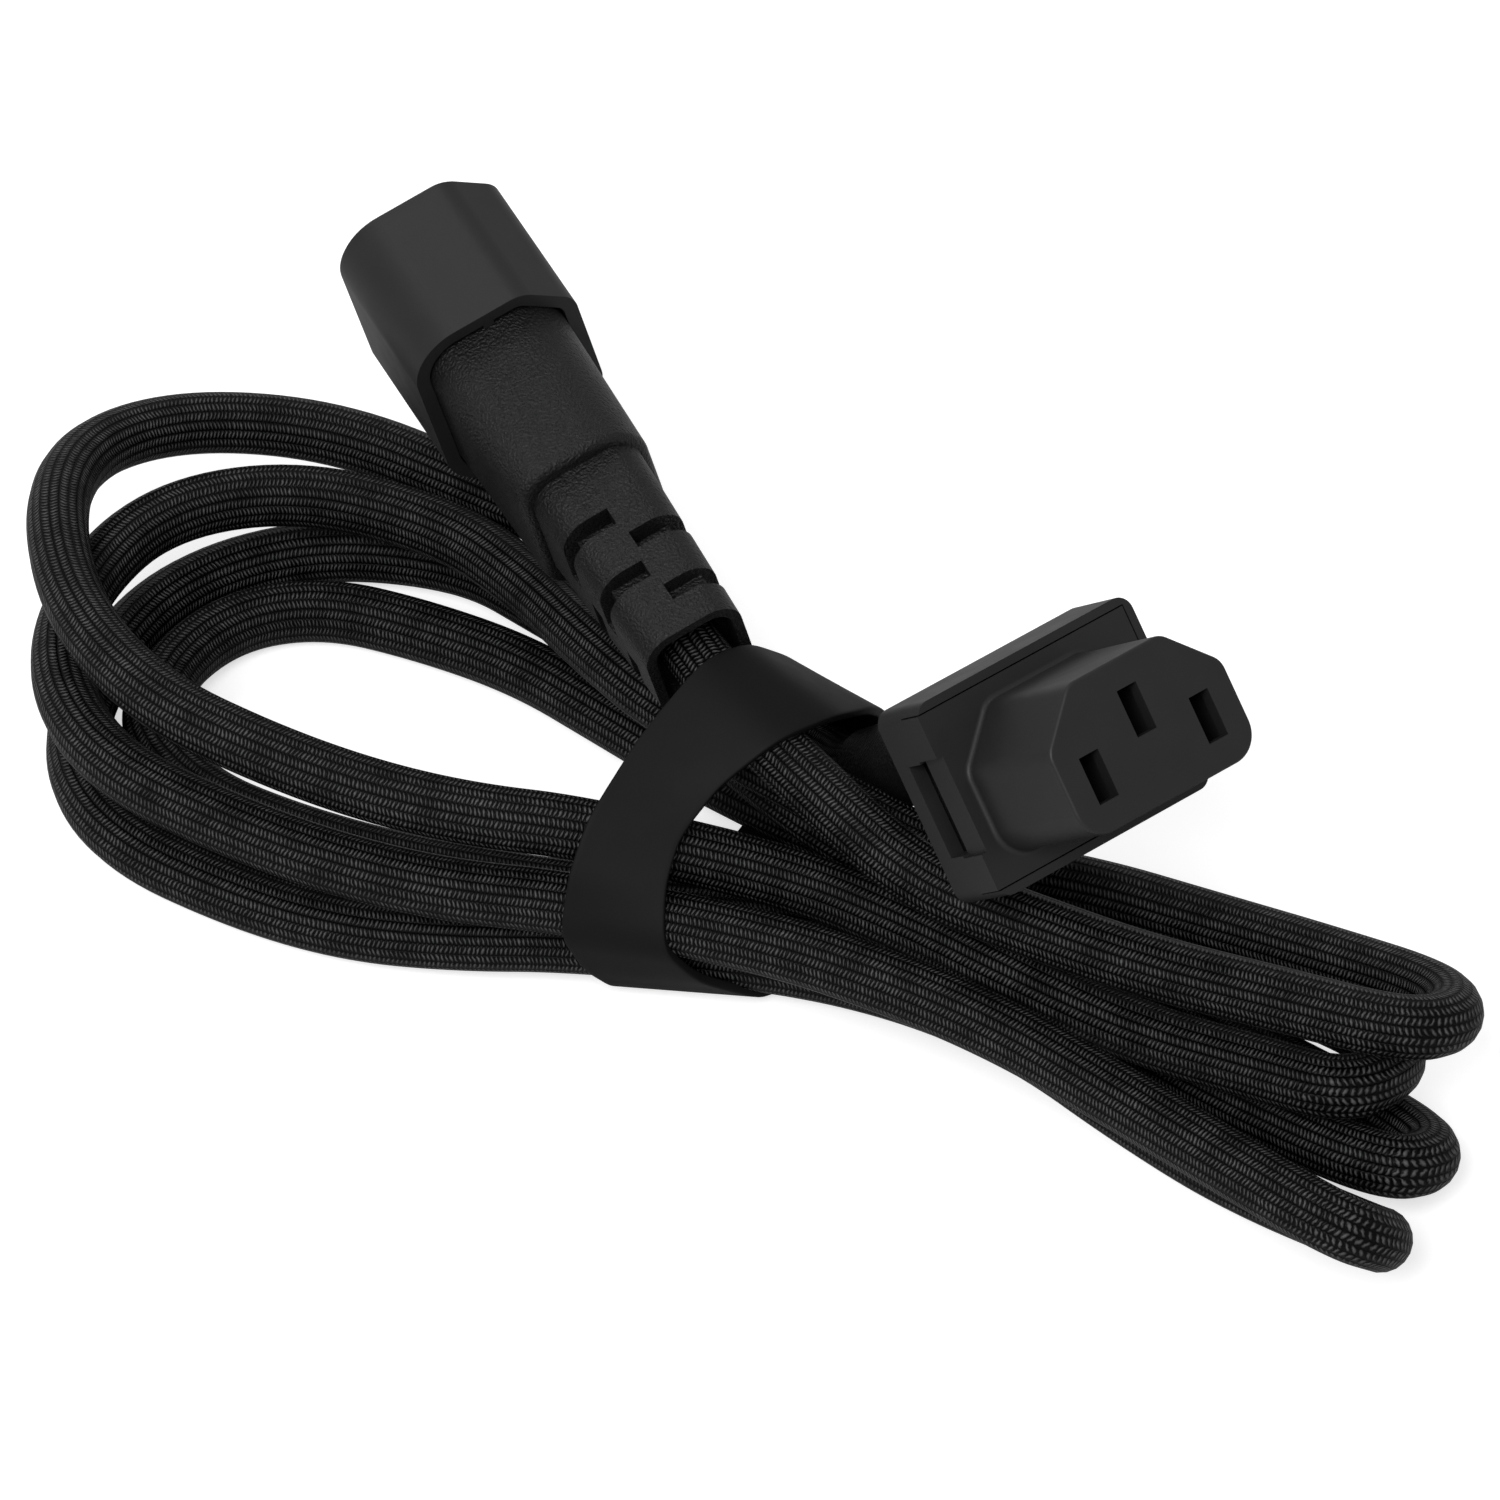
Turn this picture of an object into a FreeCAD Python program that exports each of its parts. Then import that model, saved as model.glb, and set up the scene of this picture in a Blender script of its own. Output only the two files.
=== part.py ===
import math
import os

import FreeCAD
import Part
import Sketcher

# A power cord with a braided jacket, folded into a hank and tied with a flat rubber band.
# One end is a plug with three flat pins in a hollow shroud, the other a socket connector
# with a flanged housing. Lengths are in millimetres, +Z is up, and the hank lies on Z = 0.

doc = FreeCAD.newDocument("power_cord")
sheet = doc.addObject("Spreadsheet::Sheet", "sizes")

SIZES = {
    # the cord and its three insulated wires
    "cord_diameter": 6.4,
    "wire_diameter": 2.2,
    "wire_pitch_radius": 1.45,
    # the plug's shroud: a box with two cut corners, and the gap between its skirt and the grip
    "shroud_chamfer": 5.1,
    "shroud_wall": 1.5,
    "shroud_round": 5.7,
    "shroud_cut_round": 3.5,
    "shroud_length": 17.8,
    "skirt_depth": 1.6,
    "skirt_side_gap": 0.75,
    "skirt_face_gap": 0.05,
    "locating_rib_width": 1.2,
    # the pins and the plate that holds them
    "pin_thickness": 2,
    "pin_width": 4,
    "pin_spacing": 14,
    "pin_offset": 2,
    "pin_recess": 3,
    "pin_tip_chamfer": 0.6,
    "carrier_plate": 2,
    "boss_side_wall": 1.2,
    "boss_face_wall": 0.2,
    "carrier_boss_depth": 5.2,
    "barrel_diameter": 3.2,
    "barrel_length": 5,
    "crimp_depth": 3,
    # the plug's grip and its strain relief
    "relief_length": 22.6,
    "relief_rim_width": 13.2,
    "relief_rim_height": 11,
    "relief_root_width": 16.4,
    "relief_root_height": 12.4,
    "relief_round": 3.4,
    "ledge_wall": 1.5,
    "grip_side_wall": 0.9,
    "grip_face_wall": 3.1,
    "grip_width_taper": 0.6,
    "grip_height_taper": 1,
    "grip_round": 4,
    "grip_lower_round": 6.3,
    "grip_length": 20.6,
    "relief_core_width": 10.2,
    "relief_core_height": 8.6,
    "slot_width": 2.1,
    "slot_pitch": 7.3,
    "slot_stagger": 3.7,
    "first_slot": 3.5,
    "slot_bridge": 0.5,
    "mouth_depth": 2.9,
    "mouth_wall": 1.1,
    "bore_clearance": 0.25,
    "cord_end_depth": 8,
    # the connector's nose and its front plate
    "nose_side_wall": 2.35,
    "nose_face_wall": 2.4,
    "nose_chamfer": 5.2,
    "nose_length": 16,
    "nose_round": 3.2,
    "nose_cut_round": 2.2,
    "aperture_width": 2.4,
    "aperture_height": 5,
    "aperture_spacing": 14,
    "aperture_offset": 2,
    "nose_front_wall": 1.6,
    "contact_wall": 0.4,
    "contact_clearance": 0.15,
    "contact_setback": 4,
    "contact_length": 8,
    # the connector's flanged housing
    "flange_side_border": 2.55,
    "flange_face_border": 3.05,
    "flange_depth": 8.4,
    "flange_round": 1.7,
    "flange_rim": 0.9,
    "housing_wall": 1.6,
    "plate_thickness": 3.6,
    "plate_clearance": 0.15,
    "flange_back": 1.5,
    "window_height": 10.5,
    "window_depth": 2.3,
    "tongue_recess": 0.7,
    # the body behind the flange and its strain relief
    "back_body_width": 21,
    "back_body_height": 15,
    "back_body_depth": 7.6,
    "shoulder_width": 18,
    "shoulder_height": 12.4,
    "shoulder_depth": 7,
    "back_body_round": 2.6,
    "back_relief_length": 15,
    "back_relief_rim": 8.6,
    "back_relief_root": 9.6,
    "back_relief_raise": 1.8,
    "back_bore_clearance": 0.5,
    "back_cord_end_depth": 3,
    "wire_way_side_wall": 3,
    "wire_way_face_wall": 2.5,
    # the rubber band round the hank
    "band_thickness": 1,
    "band_clearance": 0.35,
}

# Sizes that follow from those above, from the pins and the contacts outwards
FORMULAS = {
    "carrier_boss_width": "=pin_spacing + pin_thickness + 2 * boss_side_wall",
    "carrier_boss_height": "=2 * pin_offset + pin_width + 2 * boss_face_wall",
    "grip_start_width": "=carrier_boss_width + 2 * grip_side_wall",
    "grip_start_height": "=carrier_boss_height + 2 * grip_face_wall",
    "grip_end_width": "=grip_start_width + grip_width_taper",
    "grip_end_height": "=grip_start_height + grip_height_taper",
    "shroud_width": "=grip_end_width + 2 * (skirt_side_gap + shroud_wall)",
    "shroud_height": "=grip_end_height + 2 * (skirt_face_gap + shroud_wall)",
    "cell_width": "=aperture_width + 2 * (contact_wall + contact_clearance)",
    "cell_height": "=aperture_height + 2 * (contact_wall + contact_clearance)",
    "nose_width": "=aperture_spacing + cell_width + 2 * nose_side_wall",
    "nose_height": "=2 * aperture_offset + cell_height + 2 * nose_face_wall",
    "flange_width": "=nose_width + 2 * flange_side_border",
    "flange_height": "=nose_height + 2 * flange_face_border",
}

for row, (alias, value) in enumerate(list(SIZES.items()) + list(FORMULAS.items()), start=1):
    sheet.set("A%d" % row, alias.replace("_", " "))
    sheet.set("B%d" % row, str(value))
    sheet.setAlias("B%d" % row, alias)
doc.recompute()


def size(alias):
    return float(sheet.get(alias))


# Where things lie
# The hank's own layout has its zero beside the band. The object's origin is the middle of
# the ground it covers, which lies at this place in the layout.
LAYOUT_MIDDLE = FreeCAD.Vector(-6.3, 19.3, -1.2)


def placed(x, y, z):
    return FreeCAD.Vector(x, y, z) - LAYOUT_MIDDLE


def frame_at(origin, across, up, along):
    """A placement whose own X, Y and Z axes point across, up and along."""
    turn = FreeCAD.Rotation(FreeCAD.Vector(*across), FreeCAD.Vector(*up), FreeCAD.Vector(*along), "ZXY")
    return FreeCAD.Placement(placed(*origin), turn)


# The plug's frame starts at the rim of its strain relief. Z runs to the pins, X along the long
# side of the shroud and points down, Y faces the side that has no cut corners.
PLUG = frame_at(
    (-11.85, 15.3, 25.25),
    (0.0862, 0.28, -0.9561),
    (-0.6053, -0.7476, -0.2735),
    (-0.7914, 0.6023, 0.105),
)

# The connector's frame starts at the rim of its strain relief. Z runs to the nose, X to the
# right along the flange and Y up, to the side of the earth aperture.
CONNECTOR = frame_at(
    (5.75, 20.84, 9.68),
    (0.4509, 0.8921, -0.0282),
    (-0.6125, 0.3322, 0.7172),
    (0.6492, -0.3061, 0.6963),
)

# Heights along the plug
SHROUD_REAR = size("relief_length") + size("grip_length") - size("skirt_depth")
CARRIER_REAR = size("relief_length") + size("grip_length")
CARRIER_FRONT = CARRIER_REAR + size("carrier_plate")
SHROUD_FRONT = SHROUD_REAR + size("shroud_length")
BOSS_REAR = CARRIER_REAR - size("carrier_boss_depth")
PLUG_BARREL_REAR = BOSS_REAR - size("barrel_length")

# Heights along the connector
SHOULDER_FRONT = size("back_relief_length") + size("shoulder_depth")
FLANGE_REAR = SHOULDER_FRONT + size("back_body_depth")
FLANGE_FRONT = FLANGE_REAR + size("flange_depth")
PLATE_REAR = FLANGE_FRONT - size("plate_thickness")
NOSE_FRONT = FLANGE_FRONT + size("nose_length")
CELL_FRONT = NOSE_FRONT - size("nose_front_wall")
CONTACT_REAR = CELL_FRONT - size("contact_setback") - size("contact_length")
SOCKET_BARREL_REAR = CONTACT_REAR - size("barrel_length")

NODES = []


def keep(feature, label):
    feature.Label = label
    NODES.append(feature)
    return feature


# Sketches
def own_plane(body, role):
    return next(item for item in body.Origin.OriginFeatures if item.Role == role)


def outline(body, name, corners, height):
    """A closed sketch on the body's XY plane, lifted to height. Each corner is a pair of
    formulas in the sheet's names, and each is bound to them."""
    sketch = body.newObject("Sketcher::SketchObject", name)
    sketch.AttachmentSupport = [(own_plane(body, "XY_Plane"), "")]
    sketch.MapMode = "FlatFace"
    sketch.AttachmentOffset = FreeCAD.Placement(FreeCAD.Vector(0, 0, height), FreeCAD.Rotation())
    values = [(float(sketch.evalExpression(x)), float(sketch.evalExpression(y))) for x, y in corners]
    points = [FreeCAD.Vector(x, y, 0) for x, y in values]
    count = len(points)
    for index, point in enumerate(points):
        sketch.addGeometry(Part.LineSegment(point, points[(index + 1) % count]), False)
    for index in range(count):
        sketch.addConstraint(Sketcher.Constraint("Coincident", index, 2, (index + 1) % count, 1))
    for index, (x, y) in enumerate(corners):
        for kind, formula, value in (("DistanceX", x, points[index].x), ("DistanceY", y, points[index].y)):
            number = sketch.addConstraint(Sketcher.Constraint(kind, -1, 1, index, 1, value))
            sketch.setExpression("Constraints[%d]" % number, formula)
    return sketch


def rectangle(width, height):
    right, top = "sizes.%s / 2" % width, "sizes.%s / 2" % height
    return [("-" + right, "-" + top), (right, "-" + top), (right, top), ("-" + right, top)]


def cut_corner_outline(width, height, chamfer, inset="0", side=1):
    """A rectangle with two corners cut at 45 degrees, on the side that faces +Y or -Y."""
    right = "(sizes.%s / 2 - %s)" % (width, inset)
    top = "(sizes.%s / 2 - %s)" % (height, inset)
    cut = "(sizes.%s - %s * %.4f)" % (chamfer, inset, 2 - math.sqrt(2))
    corners = [
        ("-" + right, "-" + top),
        (right, "-" + top),
        (right, top + " - " + cut),
        (right + " - " + cut, top),
        (cut + " - " + right, top),
        ("-" + right, top + " - " + cut),
    ]
    if side < 0:
        corners = [(x, "-1 * (%s)" % y) for x, y in reversed(corners)]
    return corners


# Features
def new_body(label, frame):
    body = doc.addObject("PartDesign::Body", label + "_body")
    body.Placement = frame
    return keep(body, label)


def pad(body, name, sketch, length):
    feature = body.newObject("PartDesign::Pad", name)
    feature.Profile = sketch
    feature.setExpression("Length", length)
    doc.recompute()
    return feature


def pocket(body, name, sketch, length, inward=False):
    """Cuts along +Z from the sketch, or along -Z where inward is set."""
    feature = body.newObject("PartDesign::Pocket", name)
    feature.Profile = sketch
    feature.setExpression("Length", length)
    feature.Reversed = not inward
    doc.recompute()
    return feature


def loft(body, name, first, second, cut=False):
    feature = body.newObject("PartDesign::SubtractiveLoft" if cut else "PartDesign::AdditiveLoft", name)
    feature.Profile = first
    feature.Sections = [second]
    feature.Ruled = True
    doc.recompute()
    return feature


def tapered_block(body, name, start, end, low, height):
    """A block with four flat sides from height low. start and end are the aliases of its width
    and height at its two ends."""
    feature = body.newObject("PartDesign::AdditiveWedge", name)
    feature.AttachmentSupport = [(own_plane(body, "XY_Plane"), "")]
    feature.MapMode = "FlatFace"
    # the feature tapers along its own Y, so it is stood up
    upright = FreeCAD.Rotation(FreeCAD.Vector(1, 0, 0), 90)
    feature.AttachmentOffset = FreeCAD.Placement(FreeCAD.Vector(0, 0, low), upright)
    feature.Ymin = 0
    feature.setExpression("Ymax", height)
    for prefix, (width, depth) in (("", start), ("2", end)):
        for axis, alias in (("X", width), ("Z", depth)):
            feature.setExpression("%s%smin" % (axis, prefix), "-sizes.%s / 2" % alias)
            feature.setExpression("%s%smax" % (axis, prefix), "sizes.%s / 2" % alias)
    doc.recompute()
    return feature


def box(body, name, length, width, height, corner, cut=True):
    """A box feature. Its sides are formulas, its lowest corner is a point in the body."""
    feature = body.newObject("PartDesign::SubtractiveBox" if cut else "PartDesign::AdditiveBox", name)
    feature.AttachmentSupport = [(own_plane(body, "XY_Plane"), "")]
    feature.MapMode = "FlatFace"
    for side, formula in (("Length", length), ("Width", width), ("Height", height)):
        feature.setExpression(side, formula)
    feature.AttachmentOffset = FreeCAD.Placement(FreeCAD.Vector(*corner), FreeCAD.Rotation())
    doc.recompute()
    return feature


def cylinder(body, name, radius, height, base, cut=True):
    kind = "PartDesign::SubtractiveCylinder" if cut else "PartDesign::AdditiveCylinder"
    feature = body.newObject(kind, name)
    feature.AttachmentSupport = [(own_plane(body, "XY_Plane"), "")]
    feature.MapMode = "FlatFace"
    feature.setExpression("Radius", radius)
    feature.setExpression("Height", height)
    feature.AttachmentOffset = FreeCAD.Placement(FreeCAD.Vector(*base), FreeCAD.Rotation())
    doc.recompute()
    return feature


def plain_side(point):
    return point.y > 0


def cut_side(point):
    return point.y < 0


def edges_along(shape, low, high, inside=None):
    """Names of the straight edges that run from height low to height high in the shape's own
    frame. Where inside is given, a test on the edge's middle picks among them."""
    names = []
    for index, edge in enumerate(shape.Edges, start=1):
        if len(edge.Vertexes) != 2:
            continue
        ends = sorted((vertex.Point for vertex in edge.Vertexes), key=lambda point: point.z)
        straight = abs(edge.Length - ends[0].distanceToPoint(ends[1])) < 0.001
        spans = abs(ends[0].z - low) < 0.01 and abs(ends[1].z - high) < 0.01
        if straight and spans and (inside is None or inside(edge.CenterOfMass)):
            names.append("Edge%d" % index)
    return names


def edges_at(shape, height, inside=None):
    """Names of the edges that lie flat at one height."""
    names = []
    for index, edge in enumerate(shape.Edges, start=1):
        bounds = edge.BoundBox
        if abs(bounds.ZMin - height) > 0.01 or abs(bounds.ZMax - height) > 0.01:
            continue
        if inside is None or inside(edge.CenterOfMass):
            names.append("Edge%d" % index)
    return names


def round_off(body, name, base, edges, radius):
    feature = body.newObject("PartDesign::Fillet", name)
    feature.Base = (base, edges)
    feature.setExpression("Radius", radius)
    doc.recompute()
    return feature


def bevel_off(body, name, base, edges, width):
    feature = body.newObject("PartDesign::Chamfer", name)
    feature.Base = (base, edges)
    feature.setExpression("Size", width)
    doc.recompute()
    return feature


# The plug's shroud
def make_shroud():
    body = new_body("plug_shroud", PLUG)
    corners = cut_corner_outline("shroud_width", "shroud_height", "shroud_chamfer", side=-1)
    outer = outline(body, "shroud_outline", corners, SHROUD_REAR)
    pad(body, "shroud_block", outer, "sizes.shroud_length")
    corners = cut_corner_outline("shroud_width", "shroud_height", "shroud_chamfer", "sizes.shroud_wall", -1)
    inner = outline(body, "cavity_outline", corners, SHROUD_REAR)
    shell = pocket(body, "shroud_cavity", inner, "sizes.shroud_length")
    reach_x = size("shroud_width") / 2 - size("shroud_wall") + 0.2
    reach_y = size("shroud_height") / 2 - size("shroud_wall") + 0.2

    def in_cavity(point):
        return abs(point.x) < reach_x and abs(point.y) < reach_y

    def round_group(shell, name, inner, side, radius):
        def belongs(point):
            return in_cavity(point) == inner and side(point)

        edges = edges_along(shell.Shape, SHROUD_REAR, SHROUD_FRONT, belongs)
        return round_off(body, name, shell, edges, radius)

    # the cavity comes first, because its sharp corners would reach through the rounded outside
    plain_radius = "sizes.shroud_round - sizes.shroud_wall"
    cut_radius = "sizes.shroud_cut_round - sizes.shroud_wall"
    shell = round_group(shell, "cavity_rounds", True, plain_side, plain_radius)
    shell = round_group(shell, "cavity_cut_rounds", True, cut_side, cut_radius)
    shell = round_group(shell, "shroud_rounds", False, plain_side, "sizes.shroud_round")
    shell = round_group(shell, "shroud_cut_rounds", False, cut_side, "sizes.shroud_cut_round")
    low_x = size("shroud_wall") / 2 - size("shroud_width") / 2
    corner = (low_x, -size("locating_rib_width") / 2, SHROUD_REAR)
    length = "sizes.shroud_wall / 2 + sizes.skirt_side_gap - 0.1"
    sides = (length, "sizes.locating_rib_width", "sizes.skirt_depth")
    rib = box(body, "locating_rib", *sides, corner, cut=False)
    bevel_off(body, "rim_edge", rib, edges_at(rib.Shape, SHROUD_FRONT), "sizes.shroud_wall / 5")


# The plate and boss that hold the three pins
def make_pin_carrier():
    body = new_body("plug_pin_carrier", PLUG)
    inset = "(sizes.shroud_wall + 0.05)"
    corners = cut_corner_outline("shroud_width", "shroud_height", "shroud_chamfer", inset, -1)
    plate = outline(body, "carrier_outline", corners, CARRIER_REAR)
    pad(body, "carrier_plate", plate, "sizes.carrier_plate")
    corner = (-size("carrier_boss_width") / 2, -size("carrier_boss_height") / 2, BOSS_REAR)
    sides = ("sizes.carrier_boss_width", "sizes.carrier_boss_height", "sizes.carrier_boss_depth")
    block = box(body, "carrier_boss", *sides, corner, cut=False)
    edges = edges_along(block.Shape, CARRIER_REAR, CARRIER_FRONT, plain_side)
    block = round_off(body, "carrier_rounds", block, edges, "sizes.shroud_round - sizes.shroud_wall")
    edges = edges_along(block.Shape, CARRIER_REAR, CARRIER_FRONT, cut_side)
    round_off(body, "carrier_cut_rounds", block, edges, "sizes.shroud_cut_round - sizes.shroud_wall")
    depth = "sizes.carrier_boss_depth + sizes.carrier_plate"
    for name, x, y in PIN_PLACES:
        corner = (x - size("pin_thickness") / 2, y - size("pin_width") / 2, BOSS_REAR)
        box(body, name + "_slot", "sizes.pin_thickness", "sizes.pin_width", depth, corner)


PIN_PLACES = (
    ("line", size("pin_spacing") / 2, size("pin_offset")),
    ("neutral", -size("pin_spacing") / 2, size("pin_offset")),
    ("earth", 0, -size("pin_offset")),
)


# A flat pin with a crimp barrel at its rear
def make_pin(name, x, y):
    body = new_body("plug_%s_pin" % name, PLUG)
    blade_length = SHROUD_FRONT - size("pin_recess") - BOSS_REAR
    corner = (x - size("pin_thickness") / 2, y - size("pin_width") / 2, BOSS_REAR)
    sides = ("sizes.pin_thickness", "sizes.pin_width", "%.3f" % blade_length)
    blade = box(body, name + "_blade", *sides, corner, cut=False)
    tip = edges_at(blade.Shape, SHROUD_FRONT - size("pin_recess"))
    bevel_off(body, name + "_tip", blade, tip, "sizes.pin_tip_chamfer")
    add_crimp_barrel(body, name, (x, y, PLUG_BARREL_REAR))


def add_crimp_barrel(body, name, base):
    """A short tube at the rear of a pin or contact, which holds the end of a wire."""
    cylinder(body, name + "_barrel", "sizes.barrel_diameter / 2", "sizes.barrel_length", base, cut=False)
    cylinder(body, name + "_crimp", "sizes.wire_diameter / 2 + 0.05", "sizes.crimp_depth", base)


# The plug's grip, with a stepped strain relief and two rows of staggered slots
def make_plug_grip():
    body = new_body("plug_grip", PLUG)
    relief_end = size("relief_length")
    sides = (("relief_rim_width", "relief_rim_height"), ("relief_root_width", "relief_root_height"))
    relief = tapered_block(body, "relief_block", *sides, 0, "sizes.relief_length")
    edges = edges_along(relief.Shape, 0, relief_end)
    round_off(body, "relief_rounds", relief, edges, "sizes.relief_round")
    for row in range(2):
        height = size("first_slot") + row * size("slot_pitch")
        cut_relief_slot(body, "slot_%da" % row, -1, height)
        cut_relief_slot(body, "slot_%db" % row, 1, height + size("slot_stagger"))
    sides = (("grip_start_width", "grip_start_height"), ("grip_end_width", "grip_end_height"))
    grip = tapered_block(body, "grip_block", *sides, relief_end, "sizes.grip_length")
    edges = edges_along(grip.Shape, relief_end, CARRIER_REAR, plain_side)
    grip = round_off(body, "grip_rounds", grip, edges, "sizes.grip_round")
    lowest = size("grip_start_height") * 0.4

    def lower_corner(point):
        return point.y < -lowest

    edges = edges_along(grip.Shape, relief_end, CARRIER_REAR, lower_corner)
    grip = round_off(body, "grip_lower_rounds", grip, edges, "sizes.grip_lower_round")

    def on_ledge(point):
        return max(abs(point.x) / size("grip_start_width"), abs(point.y) / size("grip_start_height")) > 0.43

    ledge = edges_at(grip.Shape, relief_end, on_ledge)
    round_off(body, "ledge_round", grip, ledge, "sizes.grip_round / 4")
    hollow_start = relief_end + size("ledge_wall")
    corner = (-size("carrier_boss_width") / 2, -size("carrier_boss_height") / 2, hollow_start)
    length = "sizes.grip_length - sizes.ledge_wall"
    sides = ("sizes.carrier_boss_width", "sizes.carrier_boss_height", length)
    box(body, "wire_space", *sides, corner)
    radius = "sizes.cord_diameter / 2 + sizes.bore_clearance"
    cylinder(body, "relief_bore", radius, "sizes.relief_length + sizes.ledge_wall", (0, 0, 0))
    mouth_width = size("relief_rim_width") - 2 * size("mouth_wall")
    mouth_height = size("relief_rim_height") - 2 * size("mouth_wall")
    sides = (
        "sizes.relief_rim_width - 2 * sizes.mouth_wall",
        "sizes.relief_rim_height - 2 * sizes.mouth_wall",
        "sizes.mouth_depth",
    )
    hollow = box(body, "mouth_hollow", *sides, (-mouth_width / 2, -mouth_height / 2, 0))
    corners = edges_along(hollow.Shape, 0, size("mouth_depth"))
    round_off(body, "mouth_rounds", hollow, corners, "sizes.relief_round - sizes.mouth_wall")


def cut_relief_slot(body, name, side, height):
    """A slot that wraps one corner of the relief, and its twin on the corner across."""
    reach = size("relief_root_width")
    core_x, core_y = size("relief_core_width") / 2, size("relief_core_height") / 2
    bridge = size("slot_bridge") / 2
    sides = ("sizes.relief_root_width", "sizes.relief_root_width", "sizes.slot_width")
    for label, turn in (("near", 1), ("far", -1)):
        low_y = bridge if side * turn > 0 else -reach - bridge
        low_x = core_x if turn < 0 else -reach - core_x
        box(body, "%s_%s_face" % (name, label), *sides, (low_x, low_y, height))
        low_y = core_y if side * turn > 0 else -reach - core_y
        low_x = bridge if turn < 0 else -reach - bridge
        box(body, "%s_%s_side" % (name, label), *sides, (low_x, low_y, height))


# The connector's nose and front plate, one moulding with three apertures
SOCKET_PLACES = (
    ("line", size("aperture_spacing") / 2, -size("aperture_offset")),
    ("neutral", -size("aperture_spacing") / 2, -size("aperture_offset")),
    ("earth", 0, size("aperture_offset")),
)


def make_connector_face():
    body = new_body("connector_face", CONNECTOR)
    right = "(sizes.flange_width / 2 - sizes.flange_rim - sizes.plate_clearance)"
    top = "(sizes.flange_height / 2 - sizes.flange_rim - sizes.plate_clearance)"
    left = "-1 * sizes.flange_width / 2"
    corners = [(left, "-" + top), (right, "-" + top), (right, top), (left, top)]
    pad(body, "front_plate", outline(body, "plate_outline", corners, PLATE_REAR), "sizes.plate_thickness")
    corners = cut_corner_outline("nose_width", "nose_height", "nose_chamfer")
    nose = outline(body, "nose_outline", corners, FLANGE_FRONT)
    block = pad(body, "nose_block", nose, "sizes.nose_length")
    edges = edges_along(block.Shape, FLANGE_FRONT, NOSE_FRONT, cut_side)
    block = round_off(body, "nose_rounds", block, edges, "sizes.nose_round")
    edges = edges_along(block.Shape, FLANGE_FRONT, NOSE_FRONT, plain_side)
    block = round_off(body, "nose_cut_rounds", block, edges, "sizes.nose_cut_round")

    def at_root(point):
        return abs(point.x) < size("nose_width") / 2 + 0.1 and abs(point.y) < size("nose_height") / 2 + 0.1

    edges = edges_at(block.Shape, FLANGE_FRONT, at_root)
    block = round_off(body, "nose_root", block, edges, "sizes.nose_cut_round / 4")
    round_off(body, "nose_edge", block, edges_at(block.Shape, NOSE_FRONT), "sizes.nose_cut_round / 6")
    corner = (-size("flange_width") / 2, -size("window_height") / 2 - 0.3, PLATE_REAR)
    box(body, "tongue_strip", "sizes.tongue_recess", "sizes.window_height", "sizes.plate_thickness", corner)
    cell_depth = "sizes.nose_length + sizes.plate_thickness - sizes.nose_front_wall"
    for name, x, y in SOCKET_PLACES:
        corner = (x - size("cell_width") / 2, y - size("cell_height") / 2, PLATE_REAR)
        box(body, name + "_cell", "sizes.cell_width", "sizes.cell_height", cell_depth, corner)
        corner = (x - size("aperture_width") / 2, y - size("aperture_height") / 2, CELL_FRONT)
        sides = ("sizes.aperture_width", "sizes.aperture_height", "sizes.nose_front_wall")
        box(body, name + "_aperture", *sides, corner)


# A sleeve of spring metal behind each aperture, with a crimp barrel
def make_contact(name, x, y):
    body = new_body("socket_%s_contact" % name, CONNECTOR)
    outer_x = size("aperture_width") + 2 * size("contact_wall")
    outer_y = size("aperture_height") + 2 * size("contact_wall")
    wall = " + 2 * sizes.contact_wall"
    sides = ("sizes.aperture_width" + wall, "sizes.aperture_height" + wall, "sizes.contact_length")
    box(body, name + "_sleeve", *sides, (x - outer_x / 2, y - outer_y / 2, CONTACT_REAR), cut=False)
    depth = "sizes.contact_length - 2 * sizes.contact_wall"
    floor = CONTACT_REAR + 2 * size("contact_wall")
    corner = (x - size("aperture_width") / 2, y - size("aperture_height") / 2, floor)
    box(body, name + "_channel", "sizes.aperture_width", "sizes.aperture_height", depth, corner)
    add_crimp_barrel(body, name, (x, y, SOCKET_BARREL_REAR))


# The flanged housing that the front plate sits in, with a snap window in its left side
def make_connector_housing():
    body = new_body("connector_housing", CONNECTOR)
    flange = outline(body, "flange_outline", rectangle("flange_width", "flange_height"), FLANGE_REAR)
    block = pad(body, "flange_block", flange, "sizes.flange_depth")
    edges = edges_along(block.Shape, FLANGE_REAR, FLANGE_FRONT)
    round_off(body, "flange_rounds", block, edges, "sizes.flange_round")
    left = -size("flange_width") / 2
    low = -size("flange_height") / 2
    wall = size("housing_wall")
    sides = (
        "sizes.flange_width - sizes.flange_rim",
        "sizes.flange_height - 2 * sizes.flange_rim",
        "sizes.plate_thickness",
    )
    box(body, "plate_seat", *sides, (left, low + size("flange_rim"), PLATE_REAR))
    sides = (
        "sizes.flange_width - 2 * sizes.housing_wall",
        "sizes.flange_height - 2 * sizes.housing_wall",
        "sizes.flange_depth - sizes.plate_thickness - sizes.flange_back",
    )
    box(body, "wire_space", *sides, (left + wall, low + wall, FLANGE_REAR + size("flange_back")))
    sides = ("2 * sizes.housing_wall", "sizes.window_height - 0.5", "sizes.window_depth")
    corner = (left - wall, -size("window_height") / 2 - 0.05, PLATE_REAR - size("window_depth"))
    box(body, "snap_window", *sides, corner)
    make_wire_way(body, "wire_way", FLANGE_REAR, "sizes.flange_back")


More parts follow.
